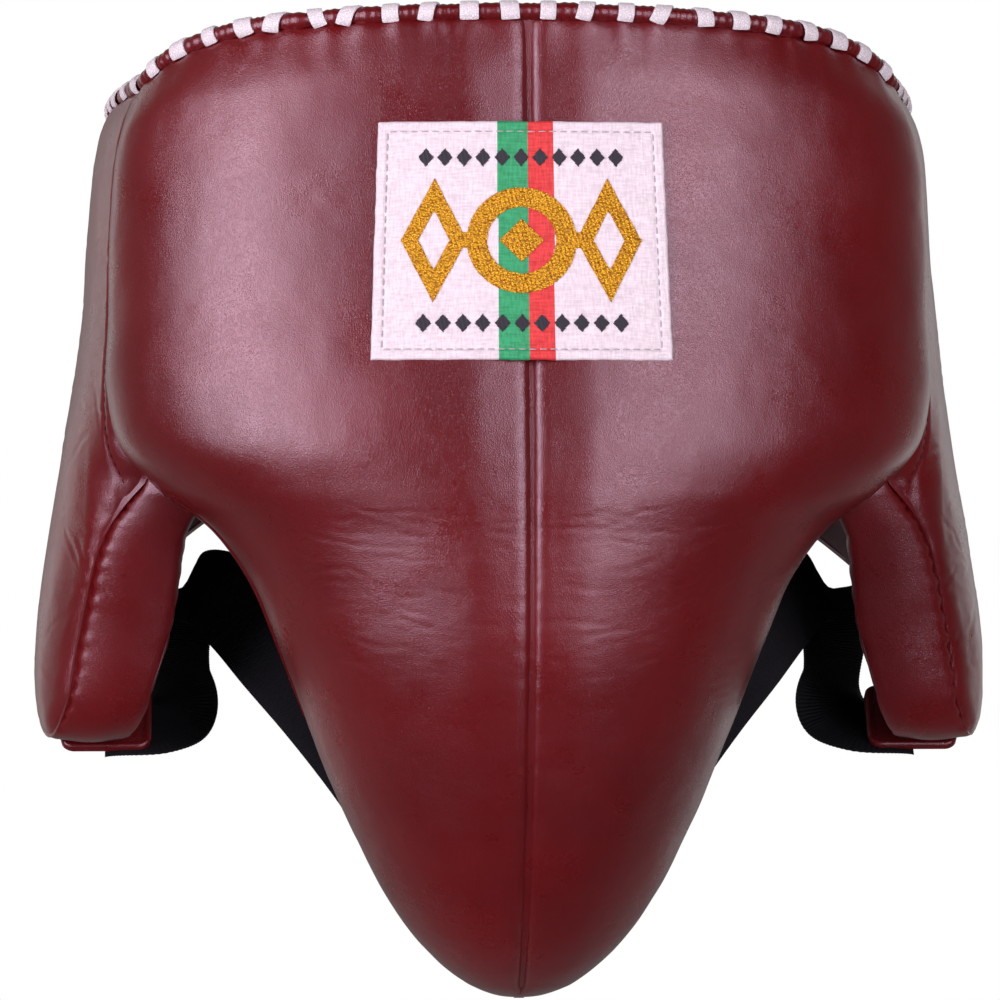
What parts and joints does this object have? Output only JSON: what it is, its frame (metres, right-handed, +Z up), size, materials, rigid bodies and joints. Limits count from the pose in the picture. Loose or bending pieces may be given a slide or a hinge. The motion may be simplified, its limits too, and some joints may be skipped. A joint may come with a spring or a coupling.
{
  "type": "groin protector",
  "caption": "Padded boxing groin and hip protector in leather, with a cupped front, folding hip wings, laced top edge, elastic belt and leg straps.",
  "frame": {"origin": "centre of the waist opening, half way up the belt", "axes": "+Z up; +X to the viewer's right as seen from the front; the wearer looks along -Y"},
  "size_m": [0.3388, 0.2563, 0.3386],
  "materials": {
    "leather": "smooth burgundy top-grain leather, semi-gloss",
    "lining_leather": "burgundy lining leather, matt",
    "foam": "open-cell padding foam",
    "cup_plastic": "moulded cup",
    "lace": "flat white braided lace",
    "label_cloth": "woven label",
    "elastic": "ribbed black elastic webbing",
    "fastener_tape": "black hook-and-loop tape"
  },
  "bodies": {
    "front": {"front_panel_left": "leather", "front_panel_right": "leather", "front_foam_outer": "foam", "cup_surround_foam": "foam", "hard_cup": "cup_plastic", "front_foam_inner": "foam", "front_lining": "lining_leather", "leg_edge_gusset_left": "leather", "leg_edge_gusset_right": "leather", "top_strip_front": "leather", "top_binding_front": "leather", "front_lacing": "lace", "label_patch": "label_cloth", "crotch_patch": "leather", "leg_strap_left": "elastic", "leg_strap_right": "elastic"},
    "wing_left": {"wing_panel_left": "leather", "wing_foam_outer_left": "foam", "wing_foam_inner_left": "foam", "wing_lining_left": "lining_leather", "wing_gusset_left": "leather", "top_binding_left": "leather", "wing_lacing_left": "lace", "strap_tab_left": "leather", "belt_tab_left": "leather"},
    "wing_right": {"wing_panel_right": "leather", "wing_foam_outer_right": "foam", "wing_foam_inner_right": "foam", "wing_lining_right": "lining_leather", "wing_gusset_right": "leather", "top_binding_right": "leather", "wing_lacing_right": "lace", "strap_tab_right": "leather", "belt_tab_right": "leather"},
    "belt_left": {"belt_elastic_left": "elastic", "loop_patch": "fastener_tape", "belt_end_tab_left": "leather"},
    "belt_right": {"belt_elastic_right": "elastic", "hook_patch": "fastener_tape", "belt_end_tab_right": "leather"}
  },
  "joints": [
    {"name": "wing_left_fold", "type": "hinge", "parent": "front", "child": "wing_left", "pos_m": [-0.142, -0.07, 0], "axis": [0, 0, 1], "range_deg": [0, 60], "stiffness_Nm_per_rad": 1, "deforming": ["leg_strap_left"]},
    {"name": "wing_right_fold", "type": "hinge", "parent": "front", "child": "wing_right", "pos_m": [0.142, -0.07, 0], "axis": [0, 0, -1], "range_deg": [0, 60], "stiffness_Nm_per_rad": 1, "deforming": ["leg_strap_right"]},
    {"name": "belt_left_fold", "type": "hinge", "parent": "wing_left", "child": "belt_left", "pos_m": [-0.07385, 0.09058, 0], "axis": [0, 0, 1], "range_deg": [0, 80], "stiffness_Nm_per_rad": 0.02},
    {"name": "belt_right_fold", "type": "hinge", "parent": "wing_right", "child": "belt_right", "pos_m": [0.07385, 0.09058, 0], "axis": [0, 0, -1], "range_deg": [0, 80], "stiffness_Nm_per_rad": 0.02}
  ]
}
